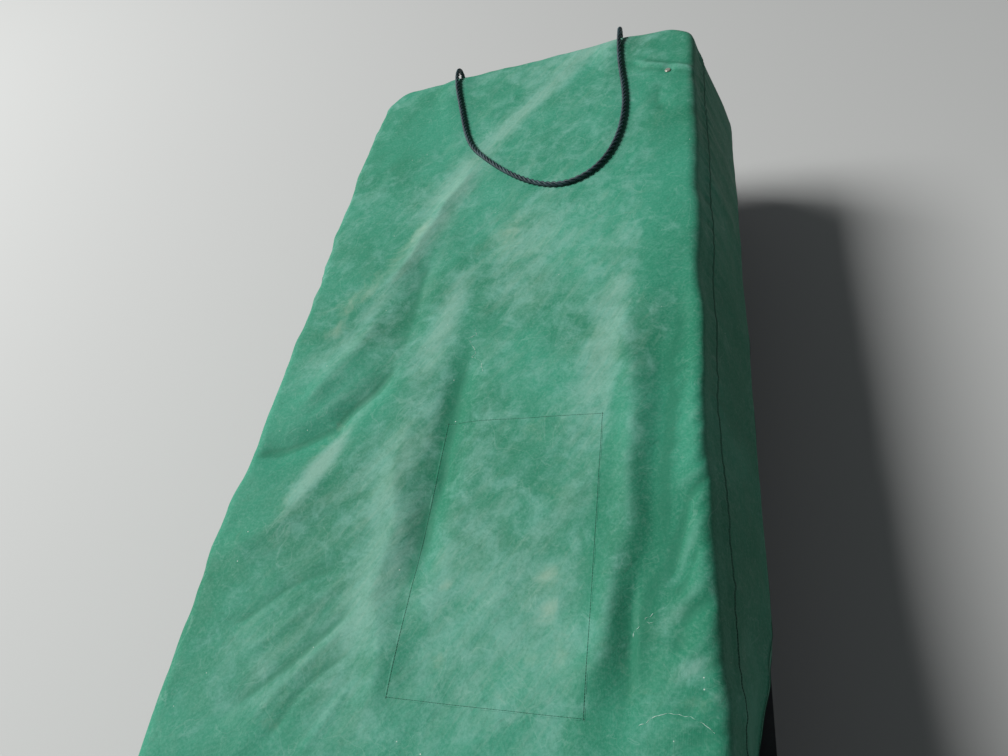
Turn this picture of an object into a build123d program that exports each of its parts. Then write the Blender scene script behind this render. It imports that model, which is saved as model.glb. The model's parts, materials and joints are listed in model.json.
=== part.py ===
from build123d import *

import os

# Ice fishing hut: a flip-over shelter folded into its tow sled, under a fitted travel cover.
# Millimetres, +Z up, +Y towards the bow with the tow rope, origin on the floor under the middle of the sled.

# Sled: a tub of thermoformed polyethylene with a rolled rim and moulded runners
rim_width = 1000
rim_length = 2140
rim_height = 340
rim_corner = 148
side_ledge = 40
end_ledge = 26
rim_lip = 22
sheet = 5
floor_height = 26
wall_lean = 52
stern_lean = 46
floor_round = 55
bow_floor_end = 560
bow_knee_back = 118
bow_knee_height = 150
bow_sweep = 380
knee_sweep = 190
runner_count = 4
runner_pitch = 188
runner_top = 78
runner_foot = 52
runner_start = 60
runner_root = 40
flute_count = 7
flute_pitch = 240
flute_start = -740
flute_bottom = 95
flute_top = 312
flute_width = 26
flute_depth = 6
flute_round = 10

# Cover: a box of coated fabric that is drawn over the rim
cloth = 5
seat = 0.3
hem_drop = 42
hem_band = 30
hem_extra = 1.5
side_lean = 87.5
end_lean = 31
top_height = 545
top_corner = 78
shoulder_round = 26
top_sag = 20
bow_left_drop = 45
bow_right_rise = 38
seam_drop = 48
corner_seam = 300

# Sewn patch and metal snap on the cover's top
patch_width = 285
patch_length = 460
patch_x = 110
patch_y = -298
patch_lift = 2.5
patch_corner = 8
snap_side = 64
snap_end = 192
snap_radius = 7
snap_height = 3

# Folded frame: three hoops of telescoping tube, hinged on a bracket at each end
pole = 25.4
pole_wall = 1.6
hoop_names = ["front", "middle", "rear"]
hoop_pitch = 36
hoop_bend = 62
hoop_gap = 5.5
crossbar_side = 25.8
pivot_side = 99.8
back_rail_side = 29.8
arm_end = 41.3
arm_tail = 14
arm_joint = 0.52
arm_overlap = 60
rail_height = 30
rail_width = 112
rail_wall = 3
rail_inset = 16
bracket_length = 56
bracket_side = 17.8
bracket_plate = 5
bracket_head = 9
bracket_round = 9
pin = 8
back_rail_gap = 0.6

# Folded tent: one layer of folds fills the tub and one lies between the poles
fold_round = 50
lower_fold_bow = 140
lower_fold_drop = 7
upper_fold_gap = 3.3
upper_fold_end = 12.3

# Tow rope, with each end knotted behind an eyelet in the bow
rope = 12
eyelet_x = 222
eyelet_drop = 74
eyelet_bore = 14
eyelet_tube = 20
eyelet_flange = 34
eyelet_plate = 2
knot_radius = 13
rope_route = [
    (-222, 991.6, 270), (-222, 1026.9, 248.1), (-222, 1072, 240), (-221, 1102, 267), (-219, 1110, 312),
    (-217, 1100, 368), (-215, 1089, 422), (-213, 1081, 468), (-211, 1075, 506), (-209, 1062, 532),
    (-207, 1035, 543), (-204, 1000, 541), (-194, 952, 535), (-177, 893, 532.5), (-157, 824, 532.5),
    (-138, 760, 532.5), (-110, 699, 533.5), (-68, 651, 535.5), (-25, 606, 537.5), (26, 562, 540.5),
    (70, 534, 544), (108, 519, 547.5), (145, 517, 551.5), (180, 530, 556), (210, 556, 560.5),
    (233, 596, 564), (248, 646, 566.5), (256, 706, 568.5), (257, 768, 570), (252, 826, 571),
    (243, 893, 572), (237, 950, 576), (236, 1000, 585), (236, 1038, 588), (235, 1065, 576),
    (234, 1079, 549), (232, 1083, 510), (230, 1088, 462), (227, 1095, 406), (224, 1103, 350),
    (222, 1110, 300), (221, 1099, 256), (221, 1068, 239), (222, 1026.9, 248.1), (222, 991.6, 270),
]
arc_share = 0.45

half_rim_x = rim_width / 2
half_rim_y = rim_length / 2
tub_x = half_rim_x - side_ledge
tub_y = half_rim_y - end_ledge
tub_corner = rim_corner - end_ledge
cover_x = half_rim_x + seat + cloth
cover_y = half_rim_y + seat + cloth
cover_corner = rim_corner + seat + cloth
slope_start = rim_height + seat + cloth
hem_height = rim_height - hem_drop
top_x = cover_x - side_lean
top_y = cover_y - end_lean
snap_x = top_x - snap_side
snap_y = top_y - snap_end
crossbar_x = top_x - crossbar_side
pivot_x = pivot_side - top_x
back_rail_x = back_rail_side - top_x
arm_y = top_y - arm_end
rail_y = arm_y - hoop_pitch
last_hoop = (len(hoop_names) - 1) * hoop_pitch + pole / 2
inner_pole = pole - 2 * pole_wall - 2 * seat
far = 1000


def lean_z(x, y):
    """Height of the cover's top without its sag: level at the stern, tilted across the bow."""
    across = x / top_x
    along = y / top_y
    tilt = (bow_right_rise + bow_left_drop) / 2 * across + (bow_right_rise - bow_left_drop) / 2 * across**2
    return top_height + tilt * (along + 1) / 2


def top_z(x, y):
    """Height of the cover's outside at a place on its top."""
    across = x / top_x
    along = y / top_y
    return lean_z(x, y) - top_sag * max(0, 1 - across**2) ** 2 * max(0, 1 - along**2)


def make_above_top():
    """Everything above the cover's top."""
    span_x, span_y, steps = 1.25 * cover_x, 1.1 * cover_y, 8
    shares = [2 * i / steps - 1 for i in range(steps + 1)]
    rows = [[Vector(a * span_x, b * span_y, top_z(a * span_x, b * span_y)) for b in shares] for a in shares]
    return extrude(Face.make_surface_from_array_of_points(rows), far, dir=(0, 0, 1))


def outline(half_x, half_y, corner, z):
    """A rounded rectangle at a height."""
    return Pos(0, 0, z) * RectangleRounded(2 * half_x, 2 * half_y, corner)


def cover_form(inset, bottom, above):
    """The cover's outside, or its inside when inset by the cloth."""
    start = slope_start - inset
    end = top_height + 2 * bow_right_rise
    share = (end - start) / (top_height - start)
    skirt = extrude(outline(cover_x - inset, cover_y - inset, cover_corner - inset, bottom), start - bottom)
    low = outline(cover_x - inset, cover_y - inset, cover_corner - inset, start)
    peak = outline(
        cover_x - inset - side_lean * share,
        cover_y - inset - end_lean * share,
        cover_corner - inset - (cover_corner - top_corner) * share,
        end,
    )
    body = loft([low, peak], ruled=True) - Pos(0, 0, -inset) * above
    top_face = body.faces().sort_by(Axis.Z)[-1]
    return skirt + fillet(top_face.edges(), shoulder_round - inset)


def make_cover(above):
    """The cover's five panels, sewn round the top and down the corners."""
    shell = cover_form(0, hem_height, above) - cover_form(cloth, hem_height - cloth, above)
    hem = outline(cover_x + hem_extra, cover_y + hem_extra, cover_corner + hem_extra, hem_height)
    shell += extrude(hem - outline(cover_x, cover_y, cover_corner, hem_height), hem_band)
    skirts = shell - Pos(0, 0, -seam_drop - seat) * above
    panels = {"cover_top": shell & Pos(0, 0, -seam_drop) * above}
    out, inn = far / 10, -corner_seam
    corners = {
        (a, b, s): ((cover_x + s) * a, (cover_y + s) * b) for a in (-1, 1) for b in (-1, 1) for s in (out, inn)
    }
    wedges = {
        "cover_right": [(1, -1, out), (1, 1, out), (1, 1, inn), (1, -1, inn)],
        "cover_left": [(-1, -1, out), (-1, 1, out), (-1, 1, inn), (-1, -1, inn)],
        "cover_bow": [(-1, 1, out), (1, 1, out), (1, 1, inn), (-1, 1, inn)],
        "cover_stern": [(-1, -1, out), (1, -1, out), (1, -1, inn), (-1, -1, inn)],
    }
    for name, keys in wedges.items():
        face = make_face(Polyline(*[corners[key] for key in keys], close=True))
        panels[name] = skirts & extrude(face, far)
    return panels


def inset_corners(corners, inset):
    """The corners of an outline that runs anticlockwise, moved inwards by the same distance from each side."""
    points = [Vector(*corner, 0) for corner in corners]
    inward = [(after - here).normalized().rotate(Axis.Z, 90) for here, after in zip(points, points[1:] + points[:1])]
    moved = []
    for here, before, after in zip(points, inward[-1:] + inward[:-1], inward):
        moved.append(here + (before + after) * (inset / (1 + before.dot(after))))
    return moved


def profile(corners, rounds, inset):
    """A closed outline with some of its corners rounded, or its inside when inset."""
    points = inset_corners(corners, inset)
    face = make_face(Polyline(*points, close=True))
    for index, radius in rounds.items():
        vertex = min(face.vertices(), key=lambda v: (v.center() - points[index]).length)
        face = fillet(vertex, radius - inset)
    return face


def upright(face):
    """A profile of Y and Z, extruded across the sled."""
    return extrude(Plane.YZ * face, rim_width, both=True)


def along_sled(face):
    """A profile of X and Z, extruded along the sled."""
    return extrude(Plane.XZ * face, rim_length, both=True)


def tub_form(inset, top):
    """The tub without its runners, or its inside when inset."""
    side = profile(
        [
            (-tub_y, rim_height), (-tub_y + stern_lean, floor_height), (bow_floor_end, floor_height),
            (tub_y - bow_knee_back, bow_knee_height), (tub_y, rim_height), (tub_y, far), (-tub_y, far),
        ],
        {1: floor_round, 2: bow_sweep, 3: knee_sweep},
        inset,
    )
    across = profile(
        [
            (-tub_x, rim_height), (-tub_x + wall_lean, floor_height), (tub_x - wall_lean, floor_height),
            (tub_x, rim_height), (tub_x, far), (-tub_x, far),
        ],
        {1: floor_round, 2: floor_round},
        inset,
    )
    plan = outline(tub_x - inset, tub_y - inset, tub_corner - inset, 0)
    return upright(side) & along_sled(across) & extrude(plan, top)


def runner_forms(inset):
    """The moulded runners under the floor, or their hollows when inset."""
    knee_y = tub_y - bow_knee_back
    side = profile(
        [
            (-tub_y + stern_lean, floor_height + runner_root), (-tub_y + stern_lean + runner_start, 0),
            (bow_floor_end, 0), (knee_y, bow_knee_height), (knee_y, bow_knee_height + runner_root),
            (bow_floor_end, floor_height + runner_root),
        ],
        {2: bow_sweep},
        inset,
    )
    foot, root = runner_foot / 2 - inset, runner_top / 2 - inset
    strip = make_face(Polyline(
        (-foot, 0), (foot, 0), (root, floor_height), (root, far), (-root, far), (-root, floor_height), close=True
    ))
    first = -(runner_count - 1) / 2 * runner_pitch
    strips = [Pos(first + i * runner_pitch, 0) * strip for i in range(runner_count)]
    return [upright(side) & along_sled(one) for one in strips]


def flute_form(inset):
    """The upright flutes that stiffen the long walls, or their hollows when inset."""
    width, tall = flute_width - 2 * inset, flute_top - flute_bottom - 2 * inset
    middle = (flute_top + flute_bottom) / 2
    outlines = [
        Pos(flute_start + i * flute_pitch, middle) * RectangleRounded(width, tall, flute_round - inset)
        for i in range(flute_count)
    ]
    reach = tub_x - wall_lean - floor_round
    strips = extrude(Plane.YZ * Sketch(outlines), rim_width, both=True) - Box(2 * reach, rim_length, far)
    return tub_form(inset - flute_depth, rim_height) & strips


def bow_plane(x):
    """The place of an eyelet: on the bow's outside, facing out."""
    height = rim_height - eyelet_drop
    rise = rim_height - bow_knee_height
    y = tub_y - bow_knee_back * eyelet_drop / rise
    return Plane(origin=(x, y, height), x_dir=(1, 0, 0), z_dir=(0, rise, -bow_knee_back))


def make_sled():
    """The tub with its runners, its rolled rim and the two eyelet holes."""
    tub = tub_form(0, rim_height)
    for form in [*runner_forms(0), flute_form(0)]:
        tub += form
    tub -= tub_form(sheet, far)
    for form in [*runner_forms(sheet), flute_form(sheet)]:
        tub -= form
    rim = outline(half_rim_x, half_rim_y, rim_corner, 0)
    ledge = rim - outline(tub_x - sheet, tub_y - sheet, tub_corner - sheet, 0)
    lip = rim - outline(half_rim_x - sheet, half_rim_y - sheet, rim_corner - sheet, 0)
    tub += Pos(0, 0, rim_height - sheet) * extrude(ledge, sheet)
    tub += Pos(0, 0, rim_height - rim_lip) * extrude(lip, rim_lip)
    for x in (-eyelet_x, eyelet_x):
        tub -= extrude(bow_plane(x) * Circle(eyelet_tube / 2 + seat), 2 * sheet, both=True)
    return tub


def make_eyelet(x):
    """A metal grommet, pressed together from both sides of the bow."""
    plane = bow_plane(x)
    deep = sheet + 2 * (seat + eyelet_plate)
    body = Pos(0, 0, seat + eyelet_plate - deep) * extrude(Circle(eyelet_tube / 2), deep)
    plate = extrude(Circle(eyelet_flange / 2), eyelet_plate)
    body += Pos(0, 0, seat) * plate
    body += Pos(0, 0, -sheet - seat - eyelet_plate) * plate
    return plane * (body - extrude(Circle(eyelet_bore / 2), far, both=True))


def make_knot(x):
    """The knot that holds a rope's end inside the bow."""
    plane = bow_plane(x)
    face = -sheet - 3 * seat - eyelet_plate
    ball = Pos(0, 0, face - knot_radius * 0.8) * Sphere(knot_radius)
    cut = Pos(0, 0, face + far / 2) * Box(far, far, far)
    return plane * (ball - cut)


def arc_radii(points):
    """The largest arc that the two runs at each corner of a route allow."""
    radii = []
    for before, here, after in zip(points, points[1:], points[2:]):
        run_in, run_out = Vector(*here) - Vector(*before), Vector(*after) - Vector(*here)
        turn = run_in.get_angle(run_out)
        tangent = arc_share * min(run_in.length, run_out.length)
        half = Vector(1, 0, 0).rotate(Axis.Z, turn / 2)
        radii.append(tangent * half.X / half.Y)
    return radii


def make_rope():
    """The tow rope: straight runs joined by tangent arcs."""
    radii = arc_radii(rope_route)
    print("rope radii", [round(radius) for radius in radii])
    path = FilletPolyline(*rope_route, radius=radii)
    tube = sweep(Plane(origin=path @ 0, z_dir=path % 0) * Circle(rope / 2), path=path)
    section = 3.14159265 * rope**2 / 4
    print("rope length", round(path.length), "volume over section times length", tube.volume / section / path.length)
    return tube


def tube_along(edge, outer, wall):
    """A tube whose middle line is one edge."""
    ring = Circle(outer / 2) - Circle(outer / 2 - wall)
    return sweep(Plane(origin=edge @ 0, z_dir=edge % 0) * ring, path=edge)


def pole_z(x, y):
    """Height of a pole's middle under the cover."""
    return lean_z(x, y) - cloth - seat - hoop_gap - pole / 2


def make_hoop(order):
    """One folded hoop: a crossbar, two elbows and two telescoping arms."""
    x, y = crossbar_x - order * hoop_pitch, arm_y - order * hoop_pitch
    pieces = {}
    route = []
    for side in (-1, 1):
        pivot = Vector(pivot_x, side * y, pole_z(pivot_x, side * rail_y))
        route.append([pivot, Vector(x, side * y, pole_z(x, side * y))])
    path = FilletPolyline(route[0][0], route[0][1], route[1][1], route[1][0], radius=hoop_bend)
    stern_arm, stern_bend, crossbar, bow_bend, bow_arm = path.edges()
    pieces["crossbar"] = tube_along(crossbar, pole, pole_wall)
    for end, side, bend, arm in (("stern", -1, stern_bend, stern_arm), ("bow", 1, bow_bend, bow_arm)):
        pivot = Vector(pivot_x, side * y, pole_z(pivot_x, side * rail_y))
        root = max(arm.vertices(), key=lambda v: (v.center() - pivot).length).center()
        way = (root - pivot).normalized()
        joint = pivot + way * ((root - pivot).length * arm_joint)
        pieces[f"{end}_elbow"] = tube_along(bend, pole, pole_wall)
        pieces[f"{end}_arm"] = tube_along(Edge.make_line(joint, root), pole, pole_wall)
        slide = tube_along(Edge.make_line(pivot - way * arm_tail, joint + way * arm_overlap), inner_pole, pole_wall)
        hole = extrude(Plane(origin=pivot, z_dir=(0, 1, 0)) * Circle(pin / 2 + seat), pole, both=True)
        pieces[f"{end}_slide"] = slide - hole
    return {f"{hoop_names[order]}_hoop_{name}": piece for name, piece in pieces.items()}


def make_end(side):
    """The cross rail at one end, with the hinge bracket that it carries and the bracket's pin."""
    rail = Box(rim_width, rail_width, rail_height)
    rail -= Box(rim_width, rail_width - 2 * rail_wall, rail_height - 2 * rail_wall)
    rail = Pos(0, side * rail_y, rim_height + rail_height / 2) * rail
    inner_rim = outline(half_rim_x - rail_inset, half_rim_y - rail_inset, rim_corner - rail_inset, rim_height)
    rail &= extrude(inner_rim, rail_height)
    foot = rim_height + rail_height
    pivot = pole_z(pivot_x, side * rail_y)
    bracket = Pos(pivot_x, side * rail_y, foot + bracket_plate / 2) * Box(bracket_length, rail_width, bracket_plate)
    bore = Pos(pivot_x, pivot) * Circle(pin / 2 + seat)
    outer_cheek = (pivot_x - bracket_length / 2, rail_width / 2)
    inner_cheek = (bracket_side - top_x, -rail_width / 2)
    for left, edge in (outer_cheek, inner_cheek):
        width = pivot_x + bracket_length / 2 - left
        tall = pivot + bracket_head - foot
        cheek = Pos(left + width / 2, foot + tall / 2) * Rectangle(width, tall)
        cheek = fillet(cheek.vertices().group_by(Axis.Y)[-1], bracket_round)
        plane = Plane(origin=(0, side * (rail_y + edge), 0), x_dir=(1, 0, 0), z_dir=(0, -1, 0))
        bracket += extrude(plane * (cheek - bore), bracket_plate if side * edge > 0 else -bracket_plate)
    axis = Plane(origin=(pivot_x, side * rail_y, pivot), z_dir=(0, 1, 0))
    bolt = extrude(axis * Circle(pin / 2), rail_width / 2, both=True)
    return rail, bracket, bolt


def make_back_rail():
    """The fixed rail between the brackets, under the cover's left edge."""
    reach = rail_y - rail_width / 2 - back_rail_gap
    ends = [Vector(back_rail_x, side * reach, pole_z(back_rail_x, side * rail_y)) for side in (-1, 1)]
    return tube_along(Edge.make_line(*ends), pole, pole_wall)


def make_folds(above):
    """The folded tent: below the rim, and between the poles above it."""
    top = rim_height - lower_fold_drop
    lower = tub_form(sheet + seat, top) & Box(rim_width, rim_length - 2 * lower_fold_bow, far)
    left = back_rail_x + pole / 2 + upper_fold_gap
    right = crossbar_x - last_hoop - upper_fold_gap
    half = arm_y - last_hoop - upper_fold_end
    block = Pos((left + right) / 2, 0, top + seat) * RectangleRounded(right - left, 2 * half, fold_round)
    upper = extrude(block, far) - Pos(0, 0, -cloth - seat) * above
    return lower, upper


def make_patch(above):
    """The rectangle that is sewn on the cover's top."""
    block = extrude(Pos(patch_x, patch_y) * RectangleRounded(patch_width, patch_length, patch_corner), far)
    return (block & Pos(0, 0, seat) * above) - Pos(0, 0, patch_lift) * above


def make_snap():
    """The metal snap by the bow's right corner."""
    step = 1
    rise_x = (top_z(snap_x + step, snap_y) - top_z(snap_x - step, snap_y)) / (2 * step)
    rise_y = (top_z(snap_x, snap_y + step) - top_z(snap_x, snap_y - step)) / (2 * step)
    plane = Plane(origin=(snap_x, snap_y, top_z(snap_x, snap_y)), z_dir=(-rise_x, -rise_y, 1))
    button = extrude(Pos(0, 0, seat) * Circle(snap_radius), snap_height)
    return plane * fillet(button.edges().sort_by(Axis.Z)[-1], snap_height * 0.8)


def main():
    os.makedirs("parts", exist_ok=True)
    above = make_above_top()
    nodes = {"sled_tub": make_sled()}
    nodes.update(make_cover(above))
    nodes["top_patch"] = make_patch(above)
    nodes["corner_snap"] = make_snap()
    for order in range(len(hoop_names)):
        nodes.update(make_hoop(order))
    for end, side in (("stern", -1), ("bow", 1)):
        rail, bracket, bolt = make_end(side)
        nodes[f"{end}_cross_rail"] = rail
        nodes[f"{end}_hinge_bracket"] = bracket
        nodes[f"{end}_hinge_pin"] = bolt
    nodes["back_rail"] = make_back_rail()
    nodes["lower_tent_fold"], nodes["upper_tent_fold"] = make_folds(above)
    for side, x in (("left", -eyelet_x), ("right", eyelet_x)):
        nodes[f"{side}_rope_eyelet"] = make_eyelet(x)
        nodes[f"{side}_rope_knot"] = make_knot(x)
    nodes["tow_rope"] = make_rope()
    for name, shape in nodes.items():
        export_step(shape, f"parts/{name}.step")


if __name__ == "__main__":
    main()
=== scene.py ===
import json
import math

import bmesh
import bpy
import numpy as np
from mathutils import Matrix, Vector


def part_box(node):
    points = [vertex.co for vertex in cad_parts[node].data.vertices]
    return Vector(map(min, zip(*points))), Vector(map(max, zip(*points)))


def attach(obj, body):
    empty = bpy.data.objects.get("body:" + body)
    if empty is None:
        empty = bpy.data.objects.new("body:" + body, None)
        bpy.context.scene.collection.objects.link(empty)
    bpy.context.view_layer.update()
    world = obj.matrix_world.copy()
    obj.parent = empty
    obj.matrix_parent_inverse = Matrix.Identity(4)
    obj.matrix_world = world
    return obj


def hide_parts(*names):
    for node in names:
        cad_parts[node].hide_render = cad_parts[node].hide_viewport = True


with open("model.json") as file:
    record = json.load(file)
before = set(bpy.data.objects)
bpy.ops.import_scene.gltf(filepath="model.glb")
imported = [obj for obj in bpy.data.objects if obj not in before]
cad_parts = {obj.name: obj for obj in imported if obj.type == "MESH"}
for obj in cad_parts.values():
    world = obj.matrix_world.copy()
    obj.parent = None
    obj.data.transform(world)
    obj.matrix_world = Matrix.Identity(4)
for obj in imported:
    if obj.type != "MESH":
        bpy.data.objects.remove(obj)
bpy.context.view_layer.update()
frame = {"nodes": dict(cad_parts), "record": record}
MM = 0.001

# The hem's plan and height and the rim's top come from the frame; the other sizes are the cover's own cut
side_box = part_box("cover_right")
stern_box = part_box("cover_stern")
sled_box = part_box("sled_tub")
hem_extra = 1.5 * MM
hem_half_x = side_box[1].x - hem_extra
hem_half_y = -stern_box[0].y - hem_extra
hem_bottom = side_box[0].z
rim_gap = 5.3 * MM
slope_start = sled_box[1].z + rim_gap
hem_corner = 153 * MM
side_lean = 87.5 * MM
end_lean = 31 * MM
top_half_x = hem_half_x - side_lean
top_half_y = hem_half_y - end_lean
top_corner = 78 * MM
shoulder = 26 * MM
top_height = 545 * MM
top_sag = 20 * MM
bow_left_drop = 45 * MM
bow_right_rise = 38 * MM

# Where the top seam lies on the slope, how far its lap stands out, and how the hem draws in and is doubled
seam_share = 0.17
seam_lap = 1.6 * MM
hem_draw = 5 * MM
hem_band = 30 * MM
hem_band_lift = 0.9 * MM
cloth = 1.2 * MM

# Share of the way down from the rim to the hem's edge at which the doubled band begins
band_share = 1 - hem_band / (slope_start - hem_bottom)

# Farther than anything on the hut, in metres
far_off = 9.0

# How far a full crest stands out from a ring of this reach round it
crest_range = 5 * MM
crest_reach = 14 * MM

# The weave's threads, drawn coarser than they are so that they show
weave_pitch = 2 * MM

# Threads of the seams
stitch_pitch = 4.2 * MM
stitch_length = 3.6 * MM
thread = 0.8 * MM
thread_lift = 0.2 * MM

# Patch sewn on the top
patch_x = 110 * MM
patch_y = -298 * MM
patch_width = 285 * MM
patch_length = 460 * MM
patch_lift = 0.2 * MM
patch_cloth = 0.3 * MM
patch_seam = 2.5 * MM
patch_thread = 0.45 * MM

# Poles right under the cloth, in groups that it spans, with how far their tops lie below the unsagged top
pole_groups = [["rear_hoop_crossbar", "middle_hoop_crossbar", "front_hoop_crossbar"], ["back_rail"]]
pole_radius = 12.7 * MM
pole_depth = 10.8 * MM
pole_cover = 1 * MM
pole_ease = 30 * MM
pole_fall = 20 * MM

# The rope's size, its gap over the cloth, the pitch of its lay, and its route in mm, as in the part
rope_size = 12 * MM
rope_gap = 0.3 * MM
rope_pitch = 42 * MM
rope_route = [
    (-222, 991.6, 270), (-222, 1026.9, 248.1), (-222, 1072, 240), (-221, 1102, 267), (-219, 1110, 312),
    (-217, 1100, 368), (-215, 1089, 422), (-213, 1081, 468), (-211, 1075, 506), (-209, 1062, 532),
    (-207, 1035, 543), (-204, 1000, 541), (-194, 952, 535), (-177, 893, 532.5), (-157, 824, 532.5),
    (-138, 760, 532.5), (-110, 699, 533.5), (-68, 651, 535.5), (-25, 606, 537.5), (26, 562, 540.5),
    (70, 534, 544), (108, 519, 547.5), (145, 517, 551.5), (180, 530, 556), (210, 556, 560.5),
    (233, 596, 564), (248, 646, 566.5), (256, 706, 568.5), (257, 768, 570), (252, 826, 571),
    (243, 893, 572), (237, 950, 576), (236, 1000, 585), (236, 1038, 588), (235, 1065, 576),
    (234, 1079, 549), (232, 1083, 510), (230, 1088, 462), (227, 1095, 406), (224, 1103, 350),
    (222, 1110, 300), (221, 1099, 256), (221, 1068, 239), (222, 1026.9, 248.1), (222, 991.6, 270),
]

# Folds of the top: path in metres, half width and height in mm, and how sharp the crest is
folds = [
    ([(-0.078, 0.655), (-0.150, 0.500), (-0.193, 0.373), (-0.233, 0.245)], 24, 8, 0.5),
    ([(-0.146, 0.368), (-0.164, 0.200), (-0.155, 0.086)], 34, -8, 0.2),
    ([(-0.347, -0.054), (-0.290, 0.038), (-0.249, 0.123), (-0.215, 0.200)], 26, 7, 0.3),
    ([(-0.155, 0.086), (-0.197, 0.004), (-0.255, -0.084), (-0.328, -0.116), (-0.415, -0.156)], 30, -15, 0.4),
    ([(-0.223, -0.179), (-0.307, -0.276), (-0.385, -0.350)], 28, 5, 0.3),
    ([(-0.018, 0.129), (-0.018, 0.035), (-0.022, -0.114), (-0.027, -0.262), (-0.032, -0.391)], 27, -12, 0.2),
    ([(-0.114, -0.034), (-0.104, -0.118), (-0.091, -0.231), (-0.082, -0.317), (-0.083, -0.396),
      (-0.033, -0.569)], 34, 7, 0.3),
    ([(-0.010, -0.025), (-0.017, -0.147), (-0.022, -0.251)], 6, -1.6, 0.9),
    ([(0.022, -0.025), (0.005, -0.147), (-0.008, -0.251)], 5, -1.4, 0.9),
    ([(0.294, 0.200), (0.290, 0.050), (0.293, -0.100), (0.293, -0.250), (0.282, -0.360), (0.262, -0.460),
      (0.240, -0.560)], 24, 7, 0.1),
    ([(0.374, 0.240), (0.364, 0.050), (0.361, -0.100), (0.354, -0.250), (0.338, -0.360), (0.314, -0.450),
      (0.288, -0.560)], 34, -14, 0.2),
    ([(0.420, -0.178), (0.390, -0.227), (0.364, -0.296), (0.351, -0.360)], 12, -6, 0.4),
    ([(0.418, -0.358), (0.387, -0.384), (0.359, -0.439)], 11, -5, 0.4),
    ([(0.402, -0.290), (0.366, -0.372)], 8, -3.5, 0.4),
    ([(0.343, -0.513), (0.377, -0.517), (0.411, -0.525)], 8, 2.5, 1.0),
    ([(-0.115, -0.343), (-0.200, -0.420), (-0.286, -0.494)], 11, 2.4, 0.6),
    ([(-0.106, -0.398), (-0.191, -0.492), (-0.272, -0.569)], 10, -2.4, 0.5),
    ([(-0.110, -0.420), (-0.175, -0.505), (-0.245, -0.590)], 9, 2.0, 0.7),
    ([(-0.100, -0.456), (-0.161, -0.531), (-0.214, -0.607)], 10, -2.2, 0.5),
    ([(-0.087, -0.510), (-0.118, -0.565), (-0.141, -0.612)], 9, 2.2, 0.7),
    ([(-0.140, -0.330), (-0.230, -0.380), (-0.330, -0.455)], 12, -2.4, 0.5),
    ([(0.262, 0.935), (0.300, 0.896), (0.345, 0.879), (0.373, 0.867), (0.440, 0.835)], 9, 8, 0.7),
    ([(0.330, 0.840), (0.330, 0.760), (0.345, 0.690)], 22, -5, 0.3),
]

# Where chalk lies, or less of it; less of it along the folds' valleys is painted shade
# Middle, half length and half width in metres, turn in degrees, how much
dust_and_shade_marks = [
    (-0.095, -0.33, 0.28, 0.045, 88, 0.6),
    (0.02, -0.33, 0.16, 0.08, 80, 0.4),
    (0.17, -0.42, 0.13, 0.11, 90, 0.5),
    (-0.14, -0.12, 0.16, 0.06, 75, 0.35),
    (-0.155, 0.45, 0.24, 0.028, 69, 0.8),
    (-0.02, 0.79, 0.26, 0.035, 55, 0.6),
    (0.10, 0.92, 0.20, 0.030, 50, 0.4),
    (0.16, 1.02, 0.24, 0.050, 8, 0.6),
    (-0.31, 0.09, 0.14, 0.045, 45, 0.6),
    (0.08, 0.35, 0.16, 0.09, 80, 0.6),
    (-0.22, -0.50, 0.16, 0.06, 42, 0.3),
    (0.385, -0.455, 0.030, 0.014, 20, 1.0),
    (0.372, -0.385, 0.025, 0.012, 40, 0.8),
    (0.39, -0.33, 0.25, 0.03, 88, -0.6),
    (0.47, 0.0, 1.20, 0.045, 90, -0.8),
    (0.37, 0.5, 0.50, 0.06, 90, -0.4),
    # The next mark lies on the right valley's shaded wall: painted shade
    (0.335, -0.25, 0.42, 0.030, 80, -1.0),
    (0.262, -0.20, 0.25, 0.014, 86, -0.6),
    # The next two marks lie along valleys, at the left and in the middle: painted shade
    (-0.31, -0.12, 0.15, 0.040, 28, -1.2),
    (-0.020, -0.08, 0.26, 0.018, 92, -0.8),
    (-0.28, 0.82, 0.16, 0.10, 60, -0.6),
    (-0.08, 0.17, 0.12, 0.030, 80, 0.9),
    (-0.155, 0.56, 0.10, 0.030, 60, 0.6),
    (0.25, 0.08, 0.24, 0.045, 86, 0.9),
    (-0.247, -0.140, 0.105, 0.019, 71, 1.9),
    (-0.42, -0.40, 0.45, 0.07, 84, -0.9),
    (-0.32, -0.66, 0.16, 0.08, 10, -0.6),
]

# Where beige dirt lies, in the same terms
soil_marks = [
    (-0.266, -0.130, 0.085, 0.018, 71, 0.55),
    (-0.292, -0.235, 0.050, 0.018, 70, 0.40),
    (-0.30, 0.24, 0.12, 0.050, 50, 0.45),
    (-0.16, -0.50, 0.12, 0.030, 45, 0.35),
    (-0.20, 0.42, 0.14, 0.020, 66, 0.5),
    (0.195, -0.390, 0.028, 0.016, 60, 0.75),
    (0.183, -0.341, 0.018, 0.012, 30, 0.75),
    (0.030, -0.362, 0.018, 0.012, 30, 1.0),
    (0.040, -0.470, 0.022, 0.014, 80, 0.8),
    (0.178, -0.458, 0.022, 0.014, 20, 0.7),
    (0.03, 0.38, 0.08, 0.05, 60, 0.7),
    (0.21, -0.44, 0.04, 0.015, 100, 0.6),
    (-0.33, 0.14, 0.03, 0.02, 30, 0.6),
    (0.39, -0.50, 0.04, 0.02, 20, 0.6),
    (0.12, -0.10, 0.10, 0.03, 70, 0.4),
]

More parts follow.
